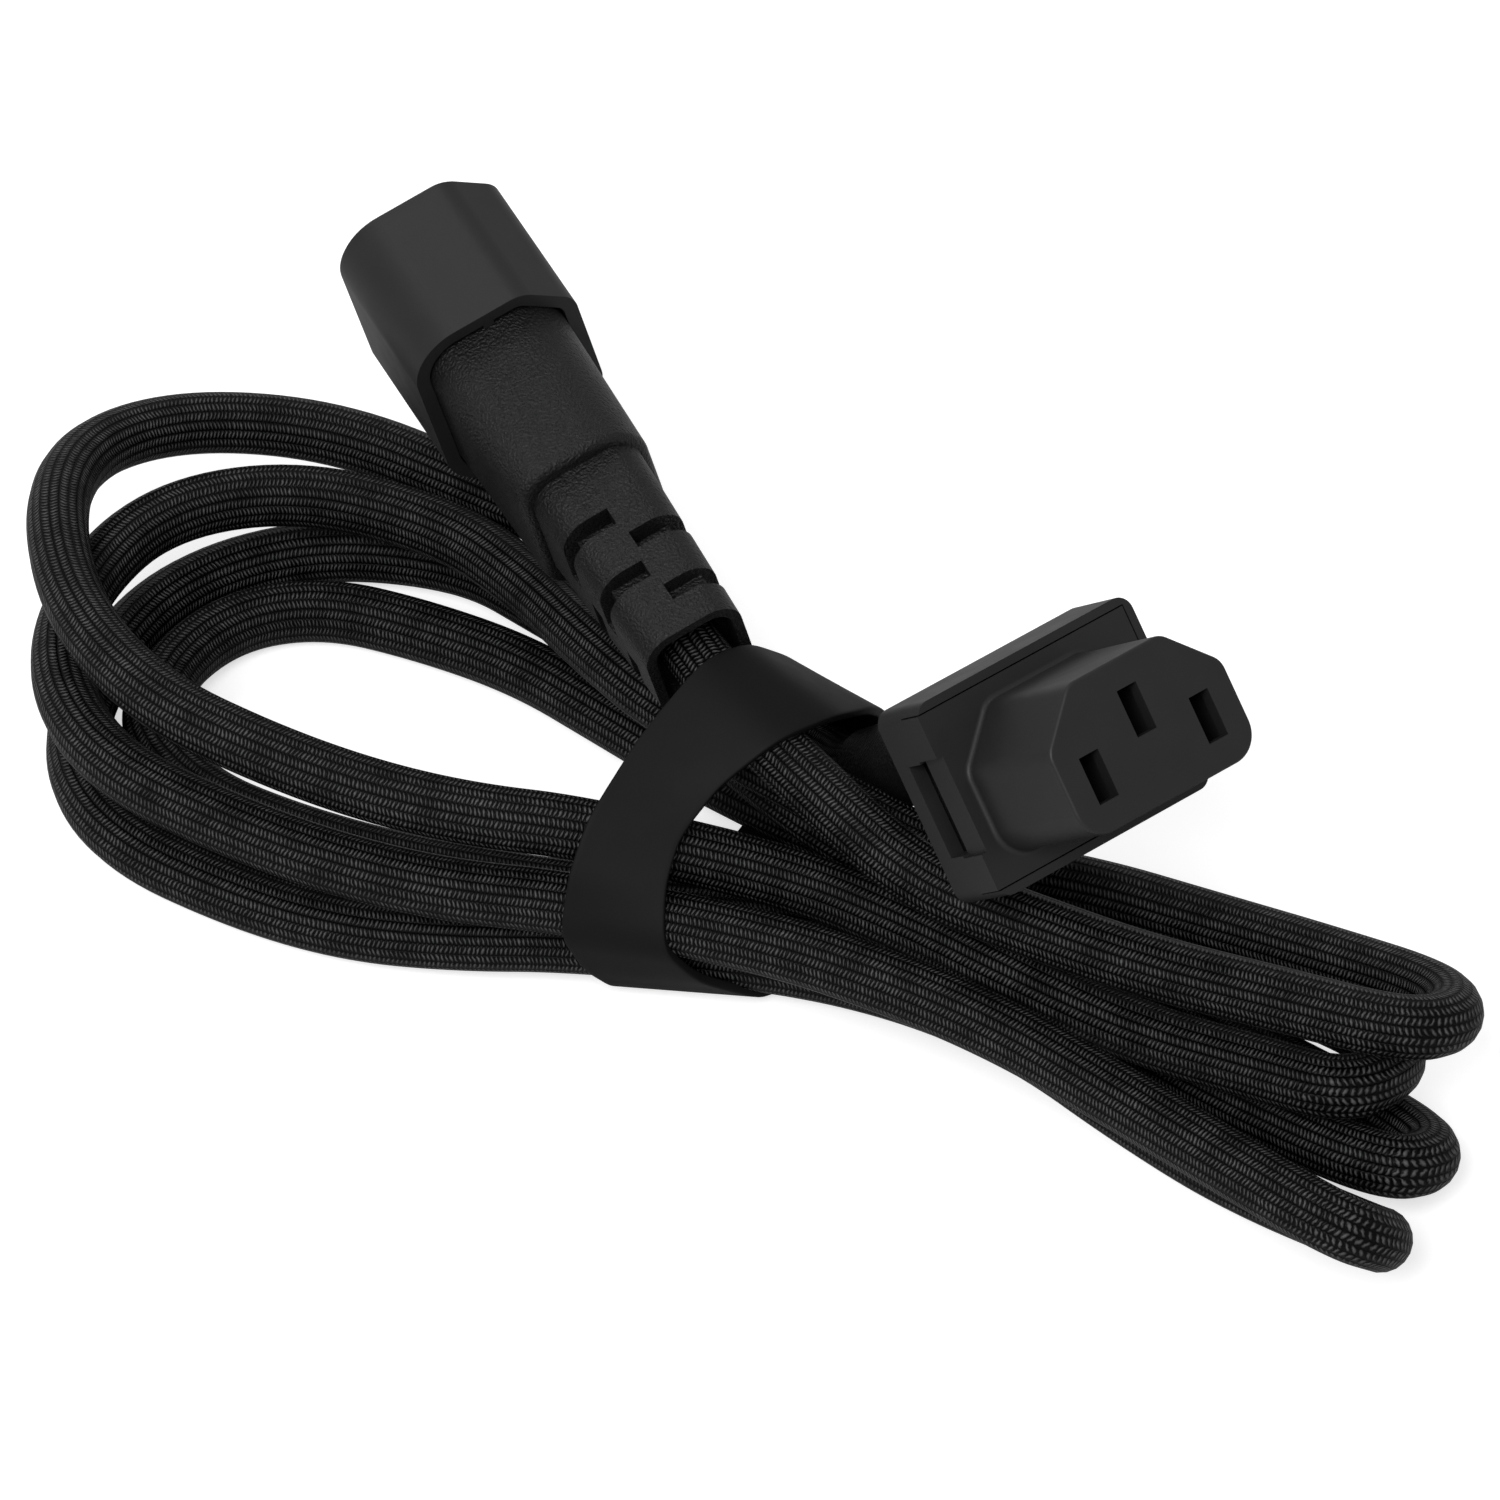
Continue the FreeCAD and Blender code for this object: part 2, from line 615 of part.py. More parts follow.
def make_wire_way(body, name, height, depth):
    """The square way for the wires through the body behind the flange."""
    side_wall, face_wall = size("wire_way_side_wall"), size("wire_way_face_wall")
    sides = (
        "sizes.back_body_width - 2 * sizes.wire_way_side_wall",
        "sizes.back_body_height - 2 * sizes.wire_way_face_wall",
        depth,
    )
    corner = (side_wall - size("back_body_width") / 2, face_wall - size("back_body_height") / 2, height)
    box(body, name, *sides, corner)


# The body behind the flange, which tapers to a round strain relief
def make_connector_grip():
    body = new_body("connector_grip", CONNECTOR)
    raise_by = size("back_relief_raise")
    root = size("back_relief_length")
    cone = body.newObject("PartDesign::AdditiveCone", "back_relief")
    cone.AttachmentSupport = [(own_plane(body, "XY_Plane"), "")]
    cone.MapMode = "FlatFace"
    cone.setExpression("Radius1", "sizes.back_relief_rim / 2")
    cone.setExpression("Radius2", "sizes.back_relief_root / 2")
    cone.setExpression("Height", "sizes.back_relief_length")
    cone.AttachmentOffset = FreeCAD.Placement(FreeCAD.Vector(0, raise_by, 0), FreeCAD.Rotation())
    doc.recompute()
    half = "sizes.back_relief_root / 2"
    low, high = "sizes.back_relief_raise - " + half, "sizes.back_relief_raise + " + half
    corners = [("-1 * " + half, low), (half, low), (half, high), ("-1 * " + half, high)]
    neck = outline(body, "neck_outline", corners, root)
    corners = rectangle("shoulder_width", "shoulder_height")
    shoulder = outline(body, "shoulder_outline", corners, SHOULDER_FRONT)
    loft(body, "shoulder_block", neck, shoulder)
    start = outline(body, "back_start", rectangle("shoulder_width", "shoulder_height"), SHOULDER_FRONT)
    end = outline(body, "back_end", rectangle("back_body_width", "back_body_height"), FLANGE_REAR)
    block = loft(body, "back_block", start, end)
    edges = edges_along(block.Shape, root, SHOULDER_FRONT)
    edges += edges_along(block.Shape, SHOULDER_FRONT, FLANGE_REAR)
    round_off(body, "back_rounds", block, edges, "sizes.back_body_round")
    make_wire_way(body, "wire_space", SHOULDER_FRONT, "sizes.back_body_depth")
    radius = "sizes.cord_diameter / 2 + sizes.back_bore_clearance"
    cylinder(body, "back_bore", radius, "sizes.back_relief_length + sizes.shoulder_depth", (0, raise_by, 0))


make_shroud()
make_pin_carrier()
for pin in PIN_PLACES:
    make_pin(*pin)
make_plug_grip()
make_connector_face()
make_connector_housing()
for socket in SOCKET_PLACES:
    make_contact(*socket)
make_connector_grip()


# Tubes along a route of straight runs joined by tangent arcs
def route_wire(points, report=None):
    """Each arc's radius is 0.45 of the shorter of its two runs, over the tangent of half the
    turn, so it takes the same length from both."""
    edges, radii = [], []
    start = points[0]
    for before, corner, after in zip(points, points[1:], points[2:]):
        inward, outward = before - corner, after - corner
        turn = math.pi - inward.getAngle(outward)
        trim = 0.45 * min(inward.Length, outward.Length)
        radii.append(trim / math.tan(turn / 2))
        inward.normalize()
        outward.normalize()
        arc_start, arc_end = corner + inward * trim, corner + outward * trim
        middle_way = inward + outward
        middle_way.normalize()
        reach = radii[-1] / math.cos(turn / 2) - radii[-1]
        arc_middle = corner + middle_way * reach
        edges.append(Part.LineSegment(start, arc_start).toShape())
        edges.append(Part.Arc(arc_start, arc_middle, arc_end).toShape())
        start = arc_end
    edges.append(Part.LineSegment(start, points[-1]).toShape())
    if report:
        smallest = ["%.1f" % radius for radius in sorted(radii)[:6]]
        print("%s: %d points, smallest radii %s" % (report, len(points), smallest))
    return Part.Wire(edges)


def tube(label, points, diameter, report=None):
    """A round solid along the route, kept as a node of its own."""
    path = route_wire(points, report)
    way = points[1] - points[0]
    ring = Part.Wire([Part.Circle(points[0], way, diameter / 2).toShape()])
    solid = path.makePipeShell([ring], True, True)
    expected = math.pi * diameter ** 2 / 4 * path.Length
    if report:
        print("%s: length %.1f, volume %.0f against %.0f" % (report, path.Length, solid.Volume, expected))
    feature = doc.addObject("Part::Feature", label + "_tube")
    feature.Shape = solid
    feature.Placement = FreeCAD.Placement()
    return keep(feature, label)


# The insulated wires, from the end of the jacket to each crimp barrel
def make_wires(prefix, frame, places, jacket_end, axis_height, barrel_rear, spread_from):
    for name, x, y in places:
        middle = abs(x) < 1
        across = 0 if middle else math.copysign(size("wire_pitch_radius") * math.cos(math.radians(30)), x)
        above = axis_height + math.copysign(size("wire_pitch_radius") * (1 if middle else 0.5), y)
        barrel = [(x, y, barrel_rear - 2.5), (x, y, barrel_rear + size("crimp_depth"))]
        stops = [(across, above, jacket_end), (across, above, spread_from)] + barrel
        points = [frame.multVec(FreeCAD.Vector(*stop)) for stop in stops]
        tube("%s_%s_wire" % (prefix, name), points, size("wire_diameter"))


JACKET_GAP = 0.1
jacket_end = size("cord_end_depth") + JACKET_GAP
spread_from = size("relief_length") + size("ledge_wall")
make_wires("plug", PLUG, PIN_PLACES, jacket_end, 0, PLUG_BARREL_REAR, spread_from)
jacket_end = size("back_cord_end_depth") + JACKET_GAP
spread_from = SHOULDER_FRONT + size("wire_way_face_wall")
axis_height = size("back_relief_raise")
make_wires("socket", CONNECTOR, SOCKET_PLACES, jacket_end, axis_height, SOCKET_BARREL_REAR, spread_from)


# The cord's route
# The hank is nine runs side by side. Each run is given at the same stations along the hank,
# as its distance to the rear and its height. Folds on the right and bends on the left are
# given as points. The order is the cord's own, from the plug to the connector.
STATIONS = (-50, -38, -27, -16, 4, 18, 31, 44, 57)
RIGHTWARD, LEFTWARD = 1, -1
ROUTE = (
    # out of the plug, under the band and round the upper fold
    ("points", ((-18.2, 20.1, 26.1), (-7.9, 12.3, 24.5))),
    (RIGHTWARD, ((7.8, 20.6), (2.6, 17.6), (1.9, 17.4), (1.2, 17.8), (1.5, 18.8))),
    ("points", ((70.2, 2, 19.4), (73.8, 7.3, 17.3), (70.2, 12.6, 14.7))),
    (LEFTWARD, (
        (36, 10.6), (30.5, 11.8), (22.6, 14.3), (16.9, 15), (11.9, 15.2),
        (11.2, 12.2), (15.2, 10.8), (15.8, 10.6), (14.6, 12.4))),
    # the middle bend on the left, and the front run to the lowest fold
    ("points", ((-67, 35, 10.5), (-79, 26, 10.4), (-81.6, 12, 10.3), (-77.6, -1, 10.2), (-67, -10, 10.2))),
    (RIGHTWARD, (
        (-12.6, 10.4), (-12.8, 10.4), (-11.4, 10.4), (-8.3, 10.6), (-5, 10.6),
        (-5, 10.6), (-6.4, 10.6), (-9.9, 10.8), (-14.1, 11.6))),
    ("points", ((71.9, -18.6, 12.2), (75.8, -14.8, 8), (71.9, -11, 3.6))),
    (LEFTWARD, (
        (-14, 2), (-13.6, 2.2), (-11, 3), (-6.6, 3.5), (-0.6, 3.5),
        (1, 3.5), (0, 2.9), (-4.3, 2.1), (-8.1, 2))),
    # the outer bend on the floor and back
    ("points", ((-65, -12, 2), (-74.4, -4.4, 2), (-78.4, 8, 2), (-77, 23.5, 2), (-66.5, 35.4, 2))),
    (RIGHTWARD, (
        (39.6, 2.8), (35.4, 4), (29.6, 7.6), (21.9, 10.1), (13.2, 8.8),
        (15, 4.5), (14.4, 3.1), (10.3, 2.1), (8, 2))),
    ("points", ((71.3, 4.6, 2.4), (74.8, 0.4, 4.2), (71.3, -4, 5.8))),
    (LEFTWARD, (
        (-3.6, 2), (-3.2, 2.2), (-2, 3), (0.2, 3.5), (6.6, 3.5),
        (8, 3.5), (7.2, 3.1), (3.1, 2.5), (-0.4, 3.4))),
    # the inner bend on the floor and back
    ("points", ((-61, -2.5, 2), (-69.4, 3.2, 2), (-71.8, 12, 2), (-69, 21.8, 2), (-61, 27.8, 2))),
    (RIGHTWARD, (
        (28.9, 2), (28.1, 2.4), (24.6, 3), (21.2, 3.4), (17.6, 3.2),
        (22.4, 3.5), (21.4, 3), (17.4, 2.8), (15, 4.4))),
    ("points", ((65.8, 10.6, 7.5), (68.6, 4.9, 10.6), (65.8, -1.6, 12.2))),
    (LEFTWARD, (
        (-7.7, 17.3), (-8.2, 17.3), (-7, 17.3), (-4, 17.3), (3.2, 12),
        (2.6, 11), (0.3, 10.8), (-1.4, 10.7), (-1.2, 11.2))),
    # the top loop on the left, then up into the connector
    ("points", ((-64, -5.5, 17.3), (-77, 2.5, 17.3), (-86.3, 16, 17))),
    ("points", ((-88.1, 28.2, 14.4), (-81.2, 38.6, 12), (-67, 44.6, 10.5))),
    (RIGHTWARD, ((43, 10.3), (41.6, 10.2), (37.2, 9.8), (31, 8))),
    ("points", ((-6.5, 28, 4.7), (-1.2, 26.2, 5), (2.4, 22.5, 8.5), (6.3, 20.6, 12.8))),
)


def route_points():
    """The route's points in order. The run that leaves the plug starts at the fifth station,
    so a run shorter than the stations is lined up with their far end on its side."""
    points = []
    for kind, places in ROUTE:
        if kind == "points":
            points += [placed(*place) for place in places]
            continue
        first = 4 if len(places) == 5 else 0
        run = [placed(x, y, z) for x, (y, z) in zip(STATIONS[first:], places)]
        points += run[::kind]
    return points


tube("braided_cord", route_points(), size("cord_diameter"), "braided cord")


# The band: a flat ring pulled tight round the hank. Each station is a point on its inside at
# the left edge and one at the right edge, going up the front, over the top and down the rear.
BAND_STATIONS = (
    ((-11.2, -7.9, 1.2), (3.2, -3, 1.2)),
    ((-13.2, -9.9, 4.6), (-1.6, -7.3, 5.4)),
    ((-14.8, -11.8, 10.4), (-4.2, -10, 11)),
    ((-15.2, -9.2, 15.8), (-5.8, -6.4, 15.4)),
    ((-15, -5.3, 20.1), (-6.2, -2.2, 18.4)),
    ((-13.2, 3.4, 24.4), (-4, 2.7, 21.9)),
    ((-10.2, 12, 28.4), (0.2, 8, 25.2)),
    ((-8.2, 17.2, 26.6), (3.6, 13.6, 24.4)),
    ((-6.8, 25, 18), (4, 22.8, 17.4)),
    ((-7.5, 32.2, 8), (2.8, 29.5, 9)),
    ((-7.5, 30.9, 1.8), (2, 27.8, 2)),
    ((-8.4, 22, 0.2), (2, 20, 0.2)),
    ((-9.2, 12, 0.2), (2.8, 12, 0.2)),
    ((-9.8, 3, 0.2), (3.6, 5, 0.2)),
    ((-10.3, -4.6, 0.2), (4.2, -0.6, 0.2)),
)


def make_band():
    sections = []
    count = len(BAND_STATIONS)
    for index, (left, right) in enumerate(BAND_STATIONS):
        last_left, last_right = BAND_STATIONS[index - 1]
        next_left, next_right = BAND_STATIONS[(index + 1) % count]
        before = placed(*last_left) + placed(*last_right)
        after = placed(*next_left) + placed(*next_right)
        left, right = placed(*left), placed(*right)
        outward = (right - left).cross(after - before)
        outward.normalize()
        left, right = left + outward * size("band_clearance"), right + outward * size("band_clearance")
        lift = outward * size("band_thickness")
        sections.append(Part.makePolygon([left, right, right + lift, left + lift, left]))
    feature = doc.addObject("Part::Feature", "band_ring")
    turned = sections[1:] + sections[:1]
    segments = [Part.makeLoft([one, other], True, True) for one, other in zip(sections, turned)]
    feature.Shape = segments[0].multiFuse(segments[1:])
    feature.Placement = FreeCAD.Placement()
    return keep(feature, "tie_band")


make_band()

# Write each piece
doc.recompute()
failed = [item.Name for item in doc.Objects if "Invalid" in item.State or "Error" in item.State]
if failed:
    raise RuntimeError("These did not build: %s" % failed)
whole = FreeCAD.BoundBox()
for node in NODES:
    if node.Shape.isNull() or not node.Shape.isValid() or len(node.Shape.Solids) != 1:
        raise RuntimeError("%s is not one sound solid" % node.Label)
    whole.add(node.Shape.BoundBox)
os.makedirs("parts", exist_ok=True)
for node in NODES:
    node.Shape.exportStep("parts/%s.step" % node.Label)
print("%d nodes, X %.1f to %.1f, Y %.1f to %.1f, Z %.2f to %.1f" % (
    len(NODES), whole.XMin, whole.XMax, whole.YMin, whole.YMax, whole.ZMin, whole.ZMax))
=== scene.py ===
# %% [markdown]
# # A braided power cord in a hank
# The object is a mains extension cord. It has a plug at one end and a socket connector at the
# other. The cord between them is folded into nine runs, and a flat rubber band holds them.
# The solids come from the CAD model as a fixed frame. This lesson gives them their finishes,
# and remakes the two soft pieces, the cord and the band.

# %% Load the fixed frame
import bpy
import bmesh
import math
from mathutils import Matrix, Vector


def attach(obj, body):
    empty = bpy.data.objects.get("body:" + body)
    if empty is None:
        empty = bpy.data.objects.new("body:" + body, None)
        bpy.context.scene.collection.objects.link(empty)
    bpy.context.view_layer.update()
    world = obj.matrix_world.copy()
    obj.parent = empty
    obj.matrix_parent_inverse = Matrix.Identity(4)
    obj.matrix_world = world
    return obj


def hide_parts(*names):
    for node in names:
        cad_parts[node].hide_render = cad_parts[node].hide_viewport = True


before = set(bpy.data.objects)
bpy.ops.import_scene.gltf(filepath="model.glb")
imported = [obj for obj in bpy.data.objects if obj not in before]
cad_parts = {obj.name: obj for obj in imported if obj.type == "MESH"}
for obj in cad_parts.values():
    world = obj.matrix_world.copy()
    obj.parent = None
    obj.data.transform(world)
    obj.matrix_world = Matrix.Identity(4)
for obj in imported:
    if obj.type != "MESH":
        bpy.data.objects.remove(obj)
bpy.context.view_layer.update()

# %% [markdown]
# ## The layout's zero
# The places of the cord and the band are written in millimetres, in a layout with its zero
# beside the band. The row's origin is the middle of the covered ground, so each place is moved
# by the same step that the CAD model uses, and turned into metres.

# %% From the layout to the row's frame
LAYOUT_MIDDLE = Vector((-6.3, 19.3, -1.2))


def placed(x, y, z):
    return (Vector((x, y, z)) - LAYOUT_MIDDLE) / 1000


# %% [markdown]
# ## The camera
# A photographer used a long lens from above and in front. The camera's own axes are given
# here, so the picture plane matches the photograph: one axis to the right, one up, and one
# back from the object to the lens.

# %% Aim the camera
RIGHT = Vector((0.9107, 0.4131, 0))
UP = Vector((-0.2921, 0.6440, 0.7071))
BACK = Vector((0.2921, -0.6440, 0.7071))
CAMERA_DISTANCE = 1.049
camera_data = bpy.data.cameras.new("camera")
camera_data.lens = 250
camera_data.sensor_width = 36
camera_data.clip_end = 20
camera = bpy.data.objects.new("camera", camera_data)
bpy.context.scene.collection.objects.link(camera)
looked_at = placed(-3.96, 9.93, 20.68)
facing = Matrix((RIGHT, UP, BACK)).transposed()
camera.matrix_world = Matrix.Translation(looked_at + BACK * CAMERA_DISTANCE) @ facing.to_4x4()
bpy.context.scene.camera = camera
print("the camera stands", CAMERA_DISTANCE, "m away")

# %% [markdown]
# ## The cord's route
# A hank is easiest to describe run by run. Each run is given at the same stations along the
# hank, as its distance to the rear and its height, and each fold or bend as a few points.
# The points become the control points of one smooth spline, which cuts inside its corners as
# a real cord does.

# %% The route, in the cord's own order
STATIONS = (-50, -38, -27, -16, 4, 18, 31, 44, 57)
RIGHTWARD, LEFTWARD = 1, -1
ROUTE = (
    # out of the plug, under the band and round the upper fold
    ("points", ((-18.2, 20.1, 26.1), (-7.9, 12.3, 24.5))),
    (RIGHTWARD, ((7.8, 20.6), (2.6, 17.6), (1.9, 17.4), (1.2, 17.8), (1.5, 18.8))),
    ("points", ((70.2, 2, 19.4), (73.8, 7.3, 17.3), (70.2, 12.6, 14.7))),
    (LEFTWARD, (
        (36, 10.6), (30.5, 11.8), (22.6, 14.3), (16.9, 15), (11.9, 15.2),
        (11.2, 12.2), (15.2, 10.8), (15.8, 10.6), (14.6, 12.4))),
    # the middle bend on the left, and the front run to the lowest fold
    ("points", ((-67, 35, 10.5), (-79, 26, 10.4), (-81.6, 12, 10.3), (-77.6, -1, 10.2), (-67, -10, 10.2))),
    (RIGHTWARD, (
        (-12.6, 10.4), (-12.8, 10.4), (-11.4, 10.4), (-8.3, 10.6), (-5, 10.6),
        (-5, 10.6), (-6.4, 10.6), (-9.9, 10.8), (-14.1, 11.6))),
    ("points", ((71.9, -18.6, 12.2), (75.8, -14.8, 8), (71.9, -11, 3.6))),
    (LEFTWARD, (
        (-14, 2), (-13.6, 2.2), (-11, 3), (-6.6, 3.5), (-0.6, 3.5),
        (1, 3.5), (0, 2.9), (-4.3, 2.1), (-8.1, 2))),
    # the outer bend on the floor and back
    ("points", ((-65, -12, 2), (-74.4, -4.4, 2), (-78.4, 8, 2), (-77, 23.5, 2), (-66.5, 35.4, 2))),
    (RIGHTWARD, (
        (39.6, 2.8), (35.4, 4), (29.6, 7.6), (21.9, 10.1), (13.2, 8.8),
        (15, 4.5), (14.4, 3.1), (10.3, 2.1), (8, 2))),
    ("points", ((71.3, 4.6, 2.4), (74.8, 0.4, 4.2), (71.3, -4, 5.8))),
    (LEFTWARD, (
        (-3.6, 2), (-3.2, 2.2), (-2, 3), (0.2, 3.5), (6.6, 3.5),
        (8, 3.5), (7.2, 3.1), (3.1, 2.5), (-0.4, 3.4))),
    # the inner bend on the floor and back
    ("points", ((-61, -2.5, 2), (-69.4, 3.2, 2), (-71.8, 12, 2), (-69, 21.8, 2), (-61, 27.8, 2))),
    (RIGHTWARD, (
        (28.9, 2), (28.1, 2.4), (24.6, 3), (21.2, 3.4), (17.6, 3.2),
        (22.4, 3.5), (21.4, 3), (17.4, 2.8), (15, 4.4))),
    ("points", ((65.8, 10.6, 7.5), (68.6, 4.9, 10.6), (65.8, -1.6, 12.2))),
    (LEFTWARD, (
        (-7.7, 17.3), (-8.2, 17.3), (-7, 17.3), (-4, 17.3), (3.2, 12),
        (2.6, 11), (0.3, 10.8), (-1.4, 10.7), (-1.2, 11.2))),
    # the top loop on the left, then up into the connector
    ("points", ((-64, -5.5, 17.3), (-77, 2.5, 17.3), (-86.3, 16, 17))),
    ("points", ((-88.1, 28.2, 14.4), (-81.2, 38.6, 12), (-67, 44.6, 10.5))),
    (RIGHTWARD, ((43, 10.3), (41.6, 10.2), (37.2, 9.8), (31, 8))),
    ("points", ((-6.5, 28, 4.7), (-1.2, 26.2, 5), (2.4, 22.5, 8.5), (6.3, 20.6, 12.8))),
)


def route_points():
    points = []
    for kind, places in ROUTE:
        if kind == "points":
            points += [placed(*place) for place in places]
            continue
        first = 4 if len(places) == 5 else 0
        run = [placed(x, y, z) for x, (y, z) in zip(STATIONS[first:], places)]
        points += run[::kind]
    return points


# %% Draw the spline and read its line back
def spline_line(points, name):
    """The points along the smooth spline that has these control points."""
    curve = bpy.data.curves.new(name, "CURVE")
    curve.dimensions = "3D"
    curve.resolution_u = 10
    spline = curve.splines.new("NURBS")
    spline.points.add(len(points) - 1)
    for control, point in zip(spline.points, points):
        control.co = (*point, 1)
    spline.order_u = 3
    spline.use_endpoint_u = True
    holder = bpy.data.objects.new(name, curve)
    mesh = bpy.data.meshes.new_from_object(holder)
    line = [vertex.co.copy() for vertex in mesh.vertices]
    bpy.data.objects.remove(holder)
    bpy.data.curves.remove(curve)
    bpy.data.meshes.remove(mesh)
    return line


cord_line = spline_line(route_points(), "cord_line")
cord_length = sum((b - a).length for a, b in zip(cord_line, cord_line[1:]))
print("the cord's line has %d points and is %.3f m long" % (len(cord_line), cord_length))

# %% [markdown]
# ## The cord as a tube
# A braid follows its cord, so the tube needs a map of its own: once round it one way, and its
# length in metres the other way. A ring of vertices is swept along the line. At each point it
# is turned by the smallest turn that keeps it square to the line, so the braid doesn't twist.

# %% Sweep the tube
CORD_DIAMETER = 0.0065
SIDES = 20


def sweep_tube(name, line, radius, sides):
    """A tube along the line, with an even map: u once round, v in metres along."""
    mesh_maker = bmesh.new()
    map_layer = mesh_maker.loops.layers.uv.new("UVMap")
    ahead = (line[1] - line[0]).normalized()
    side = ahead.orthogonal().normalized()
    rings = []
    reaches = [0.0]
    for index, point in enumerate(line):
        before = line[max(index - 1, 0)]
        after = line[min(index + 1, len(line) - 1)]
        new_ahead = (after - before).normalized()
        side = ahead.rotation_difference(new_ahead) @ side
        ahead = new_ahead
        side = (side - ahead * side.dot(ahead)).normalized()
        turned = Matrix((side, ahead.cross(side), ahead)).transposed().to_4x4()
        stand = Matrix.Translation(point) @ turned
        ring = bmesh.ops.create_circle(mesh_maker, segments=sides, radius=radius, matrix=stand)
        rings.append(ring["verts"])
        if index:
            reaches.append(reaches[-1] + (point - line[index - 1]).length)
    for number in range(len(rings) - 1):
        near, far = rings[number], rings[number + 1]
        for spot in range(sides):
            following = (spot + 1) % sides
            face = mesh_maker.faces.new((near[spot], near[following], far[following], far[spot]))
            face.smooth = True
            marks = ((spot, number), (spot + 1, number), (spot + 1, number + 1), (spot, number + 1))
            for loop, (around, along) in zip(face.loops, marks):
                loop[map_layer].uv = (around / sides, reaches[along])
    mesh = bpy.data.meshes.new(name)
    mesh_maker.to_mesh(mesh)
    mesh_maker.free()
    tube = bpy.data.objects.new(name, mesh)
    bpy.context.scene.collection.objects.link(tube)
    return tube


cord = sweep_tube("braided_jacket", cord_line, CORD_DIAMETER / 2, SIDES)
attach(cord, "root")
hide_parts("braided_cord")

# %% [markdown]
# ## The rubber band
# The band is a flat ring about 12 mm wide and 1 mm thick. It hugs the runs it goes round, so
# its two edges take slightly different ways. Each station has a point on the left edge and one
# on the right. The two loops are bridged and divided once, so that smoothing rounds the bends
# and leaves the spans between them taut. The rubber gets its thickness last, and a fine bevel.

# %% The band's stations, up the front, over the top and down the rear
BAND_STATIONS = (
    ((-11.2, -7.9, 1.2), (3.2, -3, 1.2)),
    ((-13.2, -9.9, 4.6), (-1.6, -7.3, 5.4)),
    ((-14.8, -11.8, 10.4), (-4.2, -10, 11)),
    ((-15.2, -9.2, 15.8), (-5.8, -6.4, 15.4)),
    ((-15, -5.3, 20.1), (-6.2, -2.2, 18.4)),
    ((-13.2, 3.4, 24.4), (-4, 2.7, 21.9)),
    ((-10.2, 12, 28.4), (0.2, 8, 25.2)),
    ((-8.2, 17.2, 26.6), (3.6, 13.6, 24.4)),
    ((-6.8, 25, 18), (4, 22.8, 17.4)),
    ((-7.5, 32.2, 8), (2.8, 29.5, 9)),
    ((-7.5, 30.9, 1.8), (2, 27.8, 2)),
    ((-8.4, 22, 0.2), (2, 20, 0.2)),
    ((-9.2, 12, 0.2), (2.8, 12, 0.2)),
    ((-9.8, 3, 0.2), (3.6, 5, 0.2)),
    ((-10.3, -4.6, 0.2), (4.2, -0.6, 0.2)),
)
BAND_THICKNESS = 0.001


def closed_loop(mesh_maker, places):
    """A closed loop of edges through the places."""
    corners = [mesh_maker.verts.new(place) for place in places]
    following = corners[1:] + corners[:1]
    return [mesh_maker.edges.new(pair) for pair in zip(corners, following)]


mesh_maker = bmesh.new()
left_loop = closed_loop(mesh_maker, [placed(*left) for left, right in BAND_STATIONS])
right_loop = closed_loop(mesh_maker, [placed(*right) for left, right in BAND_STATIONS])
bmesh.ops.bridge_loops(mesh_maker, edges=left_loop + right_loop)
bmesh.ops.subdivide_edges(mesh_maker, edges=mesh_maker.edges[:], cuts=1, use_grid_fill=True)
bmesh.ops.recalc_face_normals(mesh_maker, faces=mesh_maker.faces)
for face in mesh_maker.faces:
    face.smooth = True
band_mesh = bpy.data.meshes.new("rubber_band")
mesh_maker.to_mesh(band_mesh)
mesh_maker.free()
band = bpy.data.objects.new("rubber_band", band_mesh)
bpy.context.scene.collection.objects.link(band)
smoothing = band.modifiers.new("smoothing", "SUBSURF")
smoothing.levels = 3
smoothing.render_levels = 3
thickness = band.modifiers.new("thickness", "SOLIDIFY")
thickness.thickness = BAND_THICKNESS
thickness.offset = 1
crisp = band.modifiers.new("crisp edges", "BEVEL")
crisp.width = 0.0002
crisp.segments = 3
crisp.limit_method = "ANGLE"
crisp.angle_limit = math.radians(50)
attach(band, "root")
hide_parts("tie_band")
print("the band has", len(BAND_STATIONS), "stations")

# %% [markdown]
# ## Finishes
# Every piece is black, but no two of them shine alike. The shells are smooth moulded plastic,
# the grips have a fine spark texture, the jacket is a braid of glossy yarn, and the band is
# satin rubber. Each could have an image of its own, but a pattern made from noise has no seams
# and stays sharp close up. One small group makes the unevenness that the moulded ones share.

# %% Helpers that place and join shader nodes
def add(tree, kind, **settings):
    node = tree.nodes.new("ShaderNode" + kind)
    for name, value in settings.items():
        setattr(node, name, value)
    return node


def join(tree, source, target):
    tree.links.new(source, target)


def maths(tree, operation, *operands):
    """A Math node. Each operand is a socket or a number."""
    node = add(tree, "Math", operation=operation)
    for entry, operand in zip(node.inputs, operands):
        if isinstance(operand, (int, float)):
            entry.default_value = operand
        else:
            join(tree, operand, entry)
    return node.outputs[0]


def noise_texture(tree, detail):
    """Noise on the piece's own coordinates, so it stays put on the piece."""
    noise = add(tree, "TexNoise")
    noise.inputs["Detail"].default_value = detail
    place = add(tree, "TexCoord")
    join(tree, place.outputs["Object"], noise.inputs["Vector"])
    return noise


